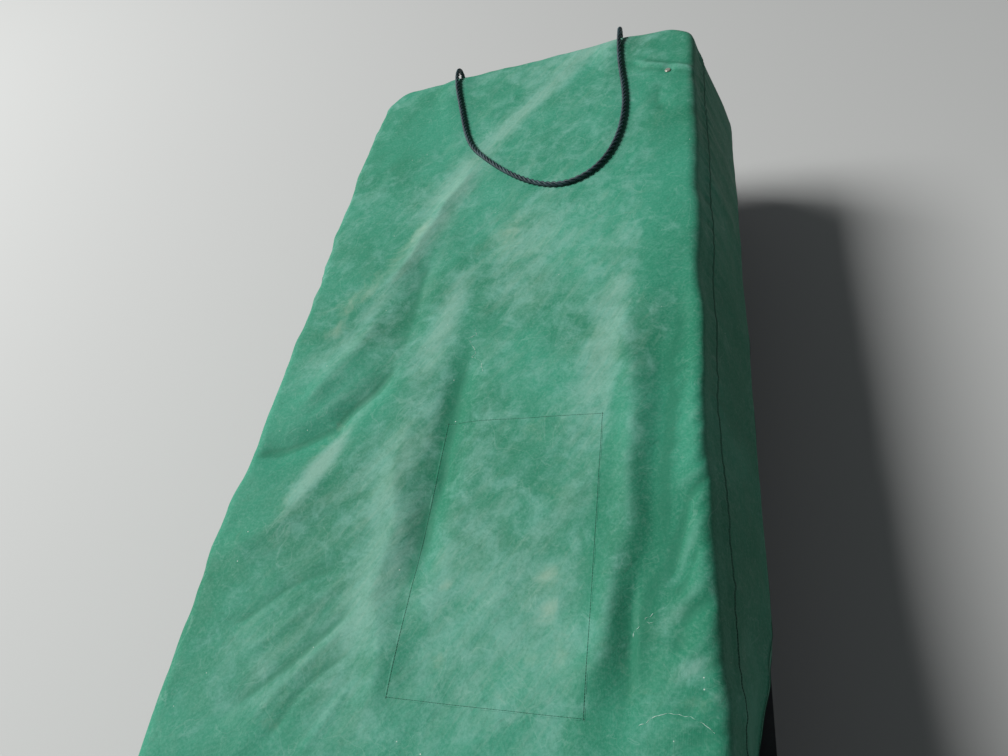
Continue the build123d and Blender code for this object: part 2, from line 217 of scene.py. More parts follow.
# Places where the coat is scratched through, as paths across the top in metres
scratches = [
    [(-0.014, 0.143), (-0.007, 0.128), (-0.024, 0.119), (-0.013, 0.104), (-0.004, 0.084), (-0.010, 0.075),
     (0.009, 0.067), (0.020, 0.037)],
    [(0.335, -0.387), (0.325, -0.395), (0.331, -0.401), (0.338, -0.397)],
    [(0.309, -0.420), (0.311, -0.411), (0.317, -0.407), (0.315, -0.399)],
    [(0.319, -0.528), (0.333, -0.518), (0.345, -0.512), (0.360, -0.508), (0.372, -0.509), (0.382, -0.511),
     (0.398, -0.517), (0.411, -0.525)],
]

# How far the left edge is drawn in along the cover: place along it in metres, and mm
left_pull = [
    (-1.05, 8), (-0.80, 14), (-0.64, 14), (-0.525, 10), (-0.35, -4), (-0.16, 6), (-0.04, 2), (0.3, 0),
    (0.5, -12), (0.8, -14), (1.05, -4),
]

# How far the right shoulder bulges out, in the same terms
right_push = [
    (-1.05, 0), (-0.85, 8), (-0.62, 20), (-0.48, 16), (-0.36, 7), (-0.20, 1), (0.0, 0), (1.05, 0),
]

# Where the hem has ridden up on the rim's ledge: from, full, full to and back down, in metres along the cover
hem_ride = (-0.26, -0.56, -0.84, -1.01)
hem_tuck = 28 * MM

# One soft lamp far off at the left, in metres and watts, and how strongly the sky lights and is seen
lamp_place = (-8.3, 1.0, 9.4)
lamp_aim = (0, 0, 0.5)
lamp_size = 4.5
lamp_power = 1790
sky_light = 0.10
sky_seen = 0.85

# The photograph's view in the object's frame, in metres, with the lens in mm
camera_place = (0.3885, -0.65, 1.493)
camera_right = (0.96369, 0.13630, -0.22962)
camera_up = (0.01821, 0.82437, 0.56576)
camera_back = (0.26640, -0.54940, 0.79196)
camera_lens = 23.9


def linear(code):
    """A colour written as sRGB hex, in the linear values that a shader takes."""
    parts = [int(code[i:i + 2], 16) / 255 for i in (1, 3, 5)]
    return [c / 12.92 if c <= 0.04045 else ((c + 0.055) / 1.055) ** 2.4 for c in parts] + [1]


def give(tree, node, values):
    """Gives a node's inputs a value, a hex colour or a socket to link."""
    for key, value in values.items():
        if isinstance(value, bpy.types.NodeSocket):
            tree.links.new(value, node.inputs[key])
        else:
            node.inputs[key].default_value = linear(value) if isinstance(value, str) else value


def add(tree, kind, values=None, **settings):
    """A node with its settings and its inputs."""
    node = tree.nodes.new(kind)
    for key, value in settings.items():
        setattr(node, key, value)
    give(tree, node, values or {})
    return node


def new_material(name):
    """A material with only its shader and output."""
    material = bpy.data.materials.new(name)
    material.use_nodes = True
    tree = material.node_tree
    tree.nodes.clear()
    shader = add(tree, "ShaderNodeBsdfPrincipled")
    add(tree, "ShaderNodeOutputMaterial", {"Surface": shader.outputs[0]})
    return material, tree, shader


def noise_fields(tree, where, recipes):
    """Noise by name: how far and which way it is drawn out, cells a metre, detail, roughness and twist."""
    fields = {}
    for name, (stretch, turn, cells, detail, rough, twist) in recipes.items():
        values = {"Vector": where, "Rotation": (0, 0, math.radians(turn)), "Scale": (stretch, 1, 1)}
        drawn_out = add(tree, "ShaderNodeMapping", values, vector_type="TEXTURE").outputs[0]
        fields[name] = add(tree, "ShaderNodeTexNoise", {
            "Vector": drawn_out, "Scale": cells, "Detail": detail, "Roughness": rough, "Distortion": twist,
        }).outputs[0]
    return fields


def lay_over(tree, colour, fields, layers):
    """Colours laid over one another, each as its field goes from one value to another, up to a share."""
    for name, low, high, most, tint in layers:
        values = {"Value": fields[name], "From Min": low, "From Max": high, "To Max": most}
        share = add(tree, "ShaderNodeMapRange", values, interpolation_type="SMOOTHSTEP").outputs[0]
        colour = add(tree, "ShaderNodeMix", {0: share, 6: colour, 7: tint}, data_type="RGBA").outputs[2]
    return colour


def make_canvas():
    """Coated polyester canvas: sea green under a chalky film of dust, paler where folds have rubbed, with
    painted shade down in them.
    """
    material, tree, shader = new_material("coated_canvas_sea_green")
    plain = add(tree, "ShaderNodeTexCoord").outputs["Object"]
    # From clouds 380 mm across down to grit of 2.4 mm
    fields = noise_fields(tree, plain, {
        "cloud": (1, 0, 2.6, 5, 0.55, 0.5),
        "mottle": (1, 0, 22, 9, 0.70, 0.4),
        "crumple": (1, 0, 75, 6, 0.70, 0.8),
        "grain": (1, 0, 230, 4, 0.70, 0.0),
        "grit": (1, 0, 420, 3, 0.70, 0.0),
        "stain": (1, 0, 14, 7, 0.70, 0.8),
        "slack": (2.2, 35, 30, 5, 0.60, 1.0),
        "sweep": (3, 56, 28, 8, 0.70, 0.5),
        "drag": (6, 48, 48, 7, 0.68, 0.3),
        "scrape": (8, 62, 150, 5, 0.65, 0.2),
        "long_line": (1, 0, 9, 4, 0.45, 0.8),
        "long_keep": (1, 0, 6.3, 2, 0.50, 0.2),
        "short_line": (1, 0, 21, 4, 0.45, 0.8),
        "short_keep": (1, 0, 14.7, 2, 0.50, 0.2),
    })
    # What the mesh stores on its points: how it stands out, where chalk and soil lie, and where shade is
    # painted
    for name in ("crest", "chalk_and_shade", "soil"):
        fields[name] = add(tree, "ShaderNodeAttribute", attribute_name=name).outputs["Fac"]
    # Chalk and soil make their fields stronger where they lie; marks of less chalk weaken them, painting
    # shade
    for name, base, mark, share in (
        ("film", "mottle", "chalk_and_shade", 0.22),
        ("swept", "sweep", "chalk_and_shade", 0.22),
        ("dragged", "drag", "chalk_and_shade", 0.22),
        ("scraped", "scrape", "chalk_and_shade", 0.22),
        ("dirt", "stain", "soil", 0.38),
    ):
        values = {0: fields[mark], 1: share, 2: fields[base]}
        fields[name] = add(tree, "ShaderNodeMath", values, operation="MULTIPLY_ADD").outputs[0]
    # Thin lines where a field crosses its middle, kept only where another one is strong
    for name in ("long", "short"):
        values = {0: fields[name + "_line"], 1: 0.5, 2: 0.006}
        on_line = add(tree, "ShaderNodeMath", values, operation="COMPARE").outputs[0]
        values = {0: on_line, 1: fields[name + "_keep"]}
        fields[name + "_crease"] = add(tree, "ShaderNodeMath", values, operation="MULTIPLY").outputs[0]
    colour = lay_over(tree, "#257F60", fields, [
        # The clean coat varies a little
        ("cloud", 0.35, 0.65, 1.00, "#379376"),
        # A thin chalky film and dust swept over it, thinned by marks of less chalk, which along valleys paint
        # shade
        ("film", 0.42, 0.78, 0.70, "#78B2A2"),
        ("swept", 0.46, 0.82, 0.38, "#83B09D"),
        # Crumples and grain are paler on their tops and darker in their hollows
        ("crumple", 0.52, 0.80, 0.30, "#8DB9A8"),
        ("crumple", 0.47, 0.25, 0.35, "#236B52"),
        ("grain", 0.42, 0.72, 0.16, "#8DBDAE"),
        ("grain", 0.50, 0.28, 0.22, "#226B52"),
        # Streaks where things were dragged over it
        ("dragged", 0.50, 0.84, 0.18, "#8FB39F"),
        ("scraped", 0.56, 0.84, 0.14, "#ABC6B5"),
        # Pale lines where sharp creases have rubbed, some longer than others
        ("long_crease", 0.45, 0.60, 0.10, "#A9CFC1"),
        ("short_crease", 0.48, 0.62, 0.10, "#A9CFC1"),
        # Rubbed crests, and painted shade: the darker clean coat down in the folds
        ("crest", 0.58, 1.00, 0.20, "#86BAAB"),
        ("crest", 0.48, 0.20, 0.60, "#28785C"),
        # Beige dirt and pale grit
        ("dirt", 0.58, 1.00, 0.50, "#A3BCA5"),
        ("grit", 0.60, 0.85, 0.30, "#A9CDBB"),
    ])
    # Specks of lint in the middle of a few chosen cells
    cells = add(tree, "ShaderNodeTexVoronoi", {"Vector": plain, "Scale": 55.0}).outputs
    draw = add(tree, "ShaderNodeSeparateColor", {0: cells["Color"]}).outputs[0]
    shares = []
    for field, low, high in ((cells["Distance"], 0.07, 0.03), (draw, 0.90, 0.93)):
        values = {"Value": field, "From Min": low, "From Max": high}
        shares.append(add(tree, "ShaderNodeMapRange", values, interpolation_type="SMOOTHSTEP").outputs[0])
    lint = add(tree, "ShaderNodeMath", {0: shares[0], 1: shares[1]}, operation="MULTIPLY").outputs[0]
    colour = add(tree, "ShaderNodeMix", {0: lint, 6: colour, 7: "#C9DACE"}, data_type="RGBA").outputs[2]
    # Threads of the weave; bands of this texture lie pi over ten times its scale apart
    threads = []
    for way in "XY":
        values = {"Vector": plain, "Scale": math.pi / (10 * weave_pitch), "Distortion": 0.8}
        threads.append(add(tree, "ShaderNodeTexWave", values, bands_direction=way).outputs["Fac"])
    weave = add(tree, "ShaderNodeMath", {0: threads[0], 1: threads[1]}, operation="MULTIPLY")
    fields["weave"] = weave.outputs[0]
    # Small slack waves, with the crumples and the weave raised on them
    values = {"Height": fields["slack"], "Distance": 4 * MM, "Strength": 0.35}
    normal = add(tree, "ShaderNodeBump", values).outputs[0]
    for name, height in (("crumple", 1.5 * MM), ("weave", 0.2 * MM)):
        values = {"Height": fields[name], "Distance": height, "Strength": 0.3, "Normal": normal}
        normal = add(tree, "ShaderNodeBump", values).outputs[0]
    values = {"Value": fields["mottle"], "From Min": 0.3, "From Max": 0.8, "To Min": 0.62, "To Max": 0.85}
    give(tree, shader, {
        "Base Color": colour,
        "Roughness": add(tree, "ShaderNodeMapRange", values, interpolation_type="SMOOTHSTEP").outputs[0],
        "Specular IOR Level": 0.25,
        "Sheen Weight": 0.05,
        "Sheen Roughness": 0.5,
        "Normal": normal,
    })
    return material


def make_finish(name, low, high, rough, metal=0.0, grain=60, height=0.3):
    """A finish that varies a little with one grain, given in cells for each metre and a height in mm."""
    material, tree, shader = new_material(name)
    fields = noise_fields(tree, add(tree, "ShaderNodeTexCoord").outputs["Object"], {
        "grain": (1, 0, grain, 5, 0.6, 0.0),
        "soft": (1, 0, grain / 10, 4, 0.6, 0.0),
    })
    smooth, dull = rough - 0.08, rough + 0.08
    gloss = {"Value": fields["soft"], "From Min": 0.3, "From Max": 0.7, "To Min": smooth, "To Max": dull}
    raised = {"Height": fields["grain"], "Distance": height * MM, "Strength": 0.5}
    give(tree, shader, {
        "Base Color": lay_over(tree, low, fields, [("soft", 0.3, 0.75, 1.0, high)]),
        "Roughness": add(tree, "ShaderNodeMapRange", gloss, interpolation_type="SMOOTHSTEP").outputs[0],
        "Normal": add(tree, "ShaderNodeBump", raised).outputs[0],
        "Metallic": metal,
    })
    return material


def make_shell():
    """Thermoformed polyethylene: black, with a fine pebble grain, grey scratches and pale dust."""
    material, tree, shader = new_material("thermoformed_polyethylene_black")
    # Pebbles of 1.4 mm, scratches of 4 mm by 54 mm, and dust in clouds of 170 mm
    fields = noise_fields(tree, add(tree, "ShaderNodeTexCoord").outputs["Object"], {
        "pebble": (1, 0, 700, 2, 0.50, 0.0),
        "scratch": (14, 90, 260, 4, 0.70, 0.2),
        "dust": (1, 0, 6, 6, 0.65, 0.4),
    })
    colour = lay_over(tree, "#1D1D21", fields, [
        ("dust", 0.42, 0.78, 0.5, "#56555C"),
        ("scratch", 0.62, 0.80, 0.6, "#6B6B70"),
    ])
    gloss = {"Value": fields["dust"], "From Min": 0.3, "From Max": 0.7, "To Min": 0.42, "To Max": 0.62}
    raised = {"Height": fields["pebble"], "Distance": 0.25 * MM, "Strength": 0.6}
    give(tree, shader, {
        "Base Color": colour,
        "Roughness": add(tree, "ShaderNodeMapRange", gloss, interpolation_type="SMOOTHSTEP").outputs[0],
        "Normal": add(tree, "ShaderNodeBump", raised).outputs[0],
    })
    return material


def make_rope_fibre():
    """Laid polypropylene: blue-black, with a fine fibrous grain and dulled by dirt."""
    material, tree, shader = new_material("laid_polypropylene_blue_black")
    # Fibres drawn 1.1 mm across so that they show, and dirt in patches of 29 mm
    fields = noise_fields(tree, add(tree, "ShaderNodeTexCoord").outputs["Object"], {
        "fibre": (1, 0, 900, 3, 0.7, 0.0),
        "dirt": (1, 0, 35, 4, 0.6, 0.0),
    })
    raised = {"Height": fields["fibre"], "Distance": 0.4 * MM, "Strength": 0.8}
    give(tree, shader, {
        "Base Color": lay_over(tree, "#1A2D33", fields, [
            ("dirt", 0.35, 0.75, 1.0, "#3A5359"),
            ("fibre", 0.52, 0.80, 0.5, "#6C888B"),
        ]),
        "Roughness": 0.55,
        "Normal": add(tree, "ShaderNodeBump", raised).outputs[0],
    })
    return material


def new_piece(name, mesh, material, slot_name, *nodes):
    """A finished mesh that rides the sled and stands for some of its nodes."""
    piece = bpy.data.objects.new(name, mesh)
    bpy.context.scene.collection.objects.link(piece)
    mesh.materials.clear()
    mesh.materials.append(material)
    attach(piece, "root")
    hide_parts(*nodes)
    return piece


def smooth_mesh(name, points, faces):
    """A mesh from arrays, shaded smooth."""
    mesh = bpy.data.meshes.new(name)
    mesh.from_pydata(np.asarray(points).tolist(), [], faces)
    mesh.validate()
    mesh.shade_smooth()
    return mesh


def grid_faces(row_count, column_count, start=0, closed=False):
    """The quads of a grid of points, or of rings of points when closed."""
    quads = []
    for j in range(row_count - 1):
        for i in range(column_count if closed else column_count - 1):
            k = (i + 1) % column_count
            low, high = start + j * column_count, start + (j + 1) * column_count
            quads.append((low + i, low + k, high + k, high + i))
    return quads


def value_noise(x, y, size, seed):
    """Smooth noise from about -1 to 1, from slopes drawn for a grid whose cells have a size."""
    angles = np.random.default_rng(seed).uniform(0, 2 * math.pi, (256, 256))
    u, v = x / size + 64, y / size + 64
    i, j = np.floor(u).astype(int), np.floor(v).astype(int)
    a, b = u - i, v - j
    fade_a, fade_b = a**3 * (a * (6 * a - 15) + 10), b**3 * (b * (6 * b - 15) + 10)
    total = 0
    for di in (0, 1):
        for dj in (0, 1):
            angle = angles[(i + di) % 256, (j + dj) % 256]
            dot = np.cos(angle) * (a - di) + np.sin(angle) * (b - dj)
            total = total + dot * (fade_a if di else 1 - fade_a) * (fade_b if dj else 1 - fade_b)
    return total * 1.5


def rising(low, high, value):
    """A smooth step from 0 to 1."""
    t = np.clip((value - low) / (high - low), 0, 1)
    return t * t * (3 - 2 * t)


def lean_z(x, y):
    """Height of the top without its sag, as in the part."""
    across, along = np.clip(x / top_half_x, -1.05, 1.05), np.clip(y / top_half_y, -1.05, 1.05)
    tilt = (bow_right_rise + bow_left_drop) / 2 * across + (bow_right_rise - bow_left_drop) / 2 * across**2
    return top_height + tilt * (along + 1) / 2


def top_z(x, y):
    """Height of the smooth cover's top, as in the part."""
    across, along = x / top_half_x, y / top_half_y
    return lean_z(x, y) - top_sag * np.clip(1 - across**2, 0, 1) ** 2 * np.clip(1 - along**2, 0, 1)


def near_path(x, y, path):
    """Distance to a path, and the share of its length at its nearest place."""
    path = np.array(path)
    steps = np.linalg.norm(np.diff(path, axis=0), axis=1)
    before = np.concatenate(([0], np.cumsum(steps)))
    nearest, share = np.full(np.shape(x), far_off), np.zeros(np.shape(x))
    for (ax, ay), (bx, by), step, start in zip(path, path[1:], steps, before):
        t = np.clip(((x - ax) * (bx - ax) + (y - ay) * (by - ay)) / step**2, 0, 1)
        gap = np.hypot(x - ax - t * (bx - ax), y - ay - t * (by - ay))
        closer = gap < nearest
        nearest = np.where(closer, gap, nearest)
        share = np.where(closer, (start + t * step) / before[-1], share)
    return nearest, share


def relief(x, y):
    """Folds, broad dents and small wrinkles of the top."""
    wander_x = x + 10 * MM * value_noise(x, y, 0.11, 5)
    wander_y = y + 10 * MM * value_noise(x, y, 0.13, 6)
    height = 3.0 * MM * value_noise(x, y, 0.42, 11)
    for path, width, tall, sharp in folds:
        gap, share = near_path(wander_x, wander_y, path)
        gap = gap / (width * MM)
        ends = rising(0.0, 0.25, share) * rising(1.0, 0.8, share) * 0.85 + 0.15
        height += tall * MM * ends * (np.exp(-(gap**2)) * (1 - sharp) + np.exp(-gap / 0.7) * sharp)
    # Small wrinkles, drawn out along one slant across the top
    along, across = 0.77 * x + 0.64 * y, 0.77 * y - 0.64 * x
    height += 1.3 * MM * (1 - 2 * np.abs(value_noise(0.4 * along, across, 0.10, 12)))
    height += 0.5 * MM * value_noise(0.5 * along, across, 0.035, 13)
    # Puckers that run in from the right shoulder
    near_edge = rising(0.34, 0.40, x) * rising(0.25, 0.0, y)
    return height + 1.8 * MM * near_edge * value_noise(0.30 * (x + y), y - x, 0.026, 14)


def marked(x, y, marks):
    """How much all the marks of a list lay on at each place."""
    total = np.zeros(np.shape(x))
    for middle_x, middle_y, length, width, turn, much in marks:
        along = (math.cos(math.radians(turn)), math.sin(math.radians(turn)))
        u = (x - middle_x) * along[0] + (y - middle_y) * along[1]
        v = (y - middle_y) * along[0] - (x - middle_x) * along[1]
        total += much * np.exp(-((u / length) ** 2) - (v / width) ** 2)
    return total


def over_poles(x, y, z):
    """Cloth that rests on the poles instead of sinking past them."""
    for group in pole_groups:
        boxes = [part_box(node) for node in group]
        first, last = boxes[0][0].x + pole_radius, boxes[-1][1].x - pole_radius
        low_y, high_y = boxes[0][0].y, boxes[0][1].y
        off = np.maximum(np.maximum(first - x, x - last), 0)
        crown = np.sqrt(np.clip(pole_radius**2 - off**2, 0, None)) - pole_radius
        bar = lean_z(x, y) - pole_depth + crown + pole_cover
        ends = rising(low_y - pole_ease, low_y, y) * rising(high_y + pole_ease, high_y, y)
        bar = bar - pole_fall * (1 - ends)
        soft = 1.5 * MM
        raised = soft * np.logaddexp(z / soft, bar / soft)
        z = np.where(off < pole_radius, raised, z)
    return z


def line_of_rope():
    """Points along the smooth line that the part's route gives as a curve, with the length up to each."""
    curve = bpy.data.curves.new("rope_line", "CURVE")
    curve.dimensions = "3D"
    curve.resolution_u = 16
    spline = curve.splines.new("NURBS")
    spline.points.add(len(rope_route) - 1)
    for point, place in zip(spline.points, rope_route):
        point.co = (*(c * MM for c in place), 1)
    spline.order_u = 3
    spline.use_endpoint_u = True
    holder = bpy.data.objects.new("rope_line", curve)
    bpy.context.scene.collection.objects.link(holder)
    mesh = bpy.data.meshes.new_from_object(holder.evaluated_get(bpy.context.evaluated_depsgraph_get()))
    line = np.array([vertex.co[:] for vertex in mesh.vertices])
    bpy.data.objects.remove(holder)
    return line, np.concatenate(([0], np.cumsum(np.linalg.norm(np.diff(line, axis=0), axis=1))))


rope_line, rope_reach = line_of_rope()


def under_rope(x, y, z):
    """Cloth that the rope lies on."""
    on_top = rope_line[(rope_line[:, 2] > 0.5) & (rope_line[:, 1] < 0.99)][::2]
    nearest, rest = np.full(x.shape, far_off), np.zeros(x.shape)
    for px, py, pz in on_top:
        gap = np.hypot(x - px, y - py)
        closer = gap < nearest
        nearest = np.where(closer, gap, nearest)
        rest = np.where(closer, pz - rope_size / 2 - rope_gap, rest)
    share = rising(0.075, 0.006, nearest)
    return z + (rest - z) * share


def surface_z(x, y):
    """Height of the worn cover's top, which is flat round the snap."""
    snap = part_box("corner_snap")
    gap = np.hypot(x - (snap[0].x + snap[1].x) / 2, y - (snap[0].y + snap[1].y) / 2)
    folded = relief(x, y) * rising(8 * MM, 24 * MM, gap)
    return under_rope(x, y, over_poles(x, y, top_z(x, y) + folded))


def top_crest(x, y):
    """How far the top stands out from what lies round it, from 0 to 1, with 0.5 for flat."""
    around = 0
    for i in range(6):
        angle = i * math.pi / 3
        around = around + relief(x + crest_reach * math.cos(angle), y + crest_reach * math.sin(angle)) / 6
    return np.clip(0.5 + (relief(x, y) - around) / crest_range, 0, 1)


# Counts of points along the sides, across the ends and round each corner of the cover
along_count = 372
across_count = 136
corner_count = 22
ring_count = 2 * (along_count + across_count) + 4 * corner_count


def ring(half_x, half_y, corner):
    """Points round a rounded rectangle, with the way out at each."""
    flat_x, flat_y = half_x - corner, half_y - corner
    sides = [
        ((half_x, -flat_y), (half_x, flat_y), (1, 0), along_count, (flat_x, flat_y)),
        ((flat_x, half_y), (-flat_x, half_y), (0, 1), across_count, (-flat_x, flat_y)),
        ((-half_x, flat_y), (-half_x, -flat_y), (-1, 0), along_count, (-flat_x, -flat_y)),
        ((-flat_x, -half_y), (flat_x, -half_y), (0, -1), across_count, (flat_x, -flat_y)),
    ]
    points, ways = [], []
    for index, (start, end, way, count, centre) in enumerate(sides):
        shares = np.arange(count)[:, None] / count
        points.append(np.array(start) + (np.array(end) - np.array(start)) * shares)
        ways.append(np.tile(way, (count, 1)))
        angles = (index + np.arange(corner_count) / corner_count) * math.pi / 2
        outward = np.column_stack((np.cos(angles), np.sin(angles)))
        points.append(np.array(centre) + corner * outward)
        ways.append(outward)
    return np.concatenate(points), np.concatenate(ways)


def section_rows():
    """The cover's rings from its top down to the hem: kind, inset or share, fall and the normal's angle."""
    lean = math.atan2(side_lean, top_height - slope_start)
    rows = [("top", inset, 0.0, math.pi / 2) for inset in np.linspace(top_corner, shoulder, 11)]
    for angle in np.linspace(math.pi / 2, lean, 9)[1:]:
        rows.append(("top", shoulder * (1 - math.cos(angle)), shoulder * (1 - math.sin(angle)), angle))
    rows += [("slope", share, 0.0, lean) for share in np.linspace(0, 1, 31)[1:]]
    shares = (0.13, band_share - 0.015, band_share, 0.40, 0.52, 0.64, 0.76, 0.88, 1.0)
    return rows + [("hem", share, 0.0, 0.0) for share in shares]


rows = section_rows()
shoulder_row = max(j for j, row in enumerate(rows) if row[0] == "top")
seam_row = next(j for j, row in enumerate(rows) if row[0] == "slope" and row[1] > seam_share)
rim_row = max(j for j, row in enumerate(rows) if row[0] == "slope")


def cover_rings():
    """Places and normals of the rings before any fold, with the shoulder's plan and the ways out from it."""
    inset, drop = rows[shoulder_row][1:3]
    edge = ring(top_half_x - inset, top_half_y - inset, top_corner - inset)[0]
    edge_z = top_z(edge[:, 0], edge[:, 1]) - drop
    points, normals = [], []
    for kind, amount, fall, angle in rows:
        if kind == "top":
            flat, ways = ring(top_half_x - amount, top_half_y - amount, top_corner - amount)
            z = top_z(flat[:, 0], flat[:, 1]) - fall
        elif kind == "slope":
            above = (top_half_x - inset, top_half_y - inset, top_corner - inset)
            below = (hem_half_x, hem_half_y, hem_corner)
            flat, ways = ring(*(a + (b - a) * amount for a, b in zip(above, below)))
            z = edge_z + (slope_start - edge_z) * amount
        else:
            tuck = hem_draw * amount**2 - hem_extra - hem_band_lift * (amount >= band_share)
            flat, ways = ring(hem_half_x - tuck, hem_half_y - tuck, hem_corner - tuck)
            z = np.full(len(flat), slope_start + (hem_bottom - slope_start) * amount)
        points.append(np.column_stack((flat, z)))
        normals.append(np.column_stack((ways * math.cos(angle), np.full(len(ways), math.sin(angle)))))
    return np.array(points), np.array(normals), edge, ways


def side_height(depth, plan, ways):
    """Slack, puckers at the seam and waves of the hem; depth is the way down the section in metres."""

    def rough(size, seed, down):
        where = plan + ways * (depth * down)[..., None]
        return value_noise(where[..., 0], where[..., 1], size, seed)

    seam = (depth[seam_row] + depth[seam_row + 1]) / 2
    slack = 5.5 * MM * rough(0.16, 21, 0.8) + 2.2 * MM * rough(0.055, 22, 0.25)
    slack += 2.5 * MM * (1 - 2 * np.abs(rough(0.13, 25, 0.12)))
    pucker = 2.2 * MM * rough(0.017, 23, 0.2) * np.exp(-(((depth - seam) / 0.030) ** 2))
    wave = 3 * MM * rough(0.11, 24, 0) * rising(depth[rim_row], depth[-1], depth)
    tied = 1 - 0.7 * np.exp(-(((depth - depth[rim_row]) / 0.03) ** 2))
    return rising(depth[shoulder_row - 8], depth[shoulder_row], depth) * (slack * tied + pucker + wave)


def drawn(x, y, z):
    """Where the upper edges go when the cover is drawn in at the left and bulges at the right."""
    tall = rising(slope_start, top_height - 0.06, z)
    pull = np.interp(y, [p[0] for p in left_pull], [p[1] * MM for p in left_pull])
    push = np.interp(y, [p[0] for p in right_push], [p[1] * MM for p in right_push])
    return x + tall * (pull * rising(-0.20, -top_half_x + 0.02, x) + push * rising(0.30, top_half_x, x))


def wrap_poles(points):
    """Moves cloth that would be inside a pole out onto it."""
    for node in (node for group in pole_groups for node in group):
        low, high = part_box(node)
        middle = (low.x + high.x) / 2
        x, y, z = points[..., 0], points[..., 1], points[..., 2]
        off, up = x - middle, z - (lean_z(middle, y) - pole_depth - pole_radius)
        gap = np.maximum(np.hypot(off, up), 1e-6)
        out = np.maximum((pole_radius + pole_cover) / gap, 1)
        out = 1 + (out - 1) * ((y > low.y - 5 * MM) & (y < high.y + 5 * MM))
        points[..., 0] = middle + off * out
        points[..., 2] = z + up * (out - 1)
    return points


def ride_up(points):
    """Lifts the hem over the rim at the stern's right, then in onto the rim's ledge."""
    x, y, z = points[..., 0], points[..., 1], points[..., 2]
    start, full, end, back = hem_ride
    share = rising(start, full, y) * rising(back, end, y) * (x > 0.3)
    low, high = slope_start + 2 * MM, top_height - 30 * MM
    below = np.clip((high - z) / (high - hem_bottom), 0, 1)
    lifted = z + rising(0.0, 0.5, share) * (low - hem_bottom) * below
    climbed = np.maximum(lifted, slope_start) - np.maximum(z, slope_start)
    drawn_in = climbed * side_lean / (top_height - slope_start)
    points[..., 0] = x - drawn_in - hem_tuck * below * rising(0.5, 1.0, share)
    points[..., 2] = lifted
    return points


def make_skin():
    """The skin's points, rings first and then the grid inside; ring normals, all crests and ring places."""
    rings, normals, plan, ways = cover_rings()
    # How far down the section each ring lies, and the slack there
    steps = np.linalg.norm(np.diff(rings, axis=0), axis=2).mean(axis=1)
    depth = np.concatenate(([0], np.cumsum(steps)))[:, None] * np.ones(ring_count)
    height = side_height(depth, plan, ways)
    # The rings, with folds on the top and slack at the sides
    smooth_top = top_z(rings[..., 0], rings[..., 1])
    rings[..., 0] = drawn(*np.moveaxis(rings, -1, 0))
    x, y = rings[..., 0], rings[..., 1]
    on_top = rising(0.15, 0.95, normals[..., 2])
    moved = rings + normals * height[..., None]
    moved[..., 2] += (surface_z(x, y) - smooth_top) * on_top
    moved = wrap_poles(ride_up(moved))
    # How far each place of a ring stands out from those beside it
    around = sum(np.roll(height, step, axis=1) for step in (-4, -2, 2, 4)) / 4
    side_crest = np.clip(0.5 + (height - around) / crest_range, 0, 1)
    ring_crest = top_crest(x, y) * on_top + side_crest * (1 - on_top)
    # The grid inside the rings, whose edge meets the innermost one
    flat_x = np.linspace(-(top_half_x - top_corner), top_half_x - top_corner, across_count + 1)
    flat_y = np.linspace(-(top_half_y - top_corner), top_half_y - top_corner, along_count + 1)
    x, y = np.meshgrid(flat_x, flat_y, indexing="ij")
    x = drawn(x, y, top_z(x, y))
    core = wrap_poles(np.stack((x, y, surface_z(x, y)), axis=-1))
    points = np.concatenate((moved.reshape(-1, 3), core.reshape(-1, 3)))
    crest = np.concatenate((ring_crest.ravel(), top_crest(x, y).ravel()))
    return points, normals, crest, moved


skin, ring_normals, skin_crest, ring_places = make_skin()


def add_wear_and_shade(mesh, crest):
    """Stores on the points of a cloth mesh how each stands out and what lies on it, with marks of painted
    shade.
    """
    places = np.array([vertex.co[:] for vertex in mesh.vertices])
    x, y = places[:, 0], places[:, 1]
    values = {"crest": crest, "chalk_and_shade": marked(x, y, dust_and_shade_marks), "soil": marked(x, y, soil_marks)}
    for name, field in values.items():
        mesh.attributes.new(name, "FLOAT", "POINT").data.foreach_set("value", field)


def panel_mesh(name, faces, lapped=()):
    """The mesh of one panel with its wear and painted shade; the rows that lap stand out over the next panel.
    """
    points = skin.copy()
    for row in lapped:
        points[row * ring_count:(row + 1) * ring_count] += ring_normals[row] * seam_lap
    used, index = np.unique(np.array(faces), return_inverse=True)
    mesh = smooth_mesh(name, points[used], index.reshape(-1, 4).tolist())
    add_wear_and_shade(mesh, skin_crest[used])
    grid = bmesh.new()
    grid.from_mesh(mesh)
    bmesh.ops.remove_doubles(grid, verts=grid.verts, dist=0.01 * MM)
    grid.to_mesh(mesh)
    grid.free()
    return mesh


def ring_faces(first, last, columns):
    """Quads between rings, from one row down to another, in some columns."""
    quads = []
    for j in range(first, last):
        low, high = j * ring_count, (j + 1) * ring_count
        for i in columns:
            k = (i + 1) % ring_count
            quads.append((low + i, high + i, high + k, low + k))
    return quads


def side_columns():
    """The columns of each of the four sides, which meet in the middle of their corners."""
    counts = [along_count + corner_count, across_count + corner_count, along_count + corner_count]
    starts = np.cumsum([0] + counts)
    places_round = (np.arange(ring_count) + corner_count / 2) % ring_count
    side = np.searchsorted(starts, places_round, side="right") - 1
    return [np.flatnonzero(side == index).tolist() for index in range(4)]


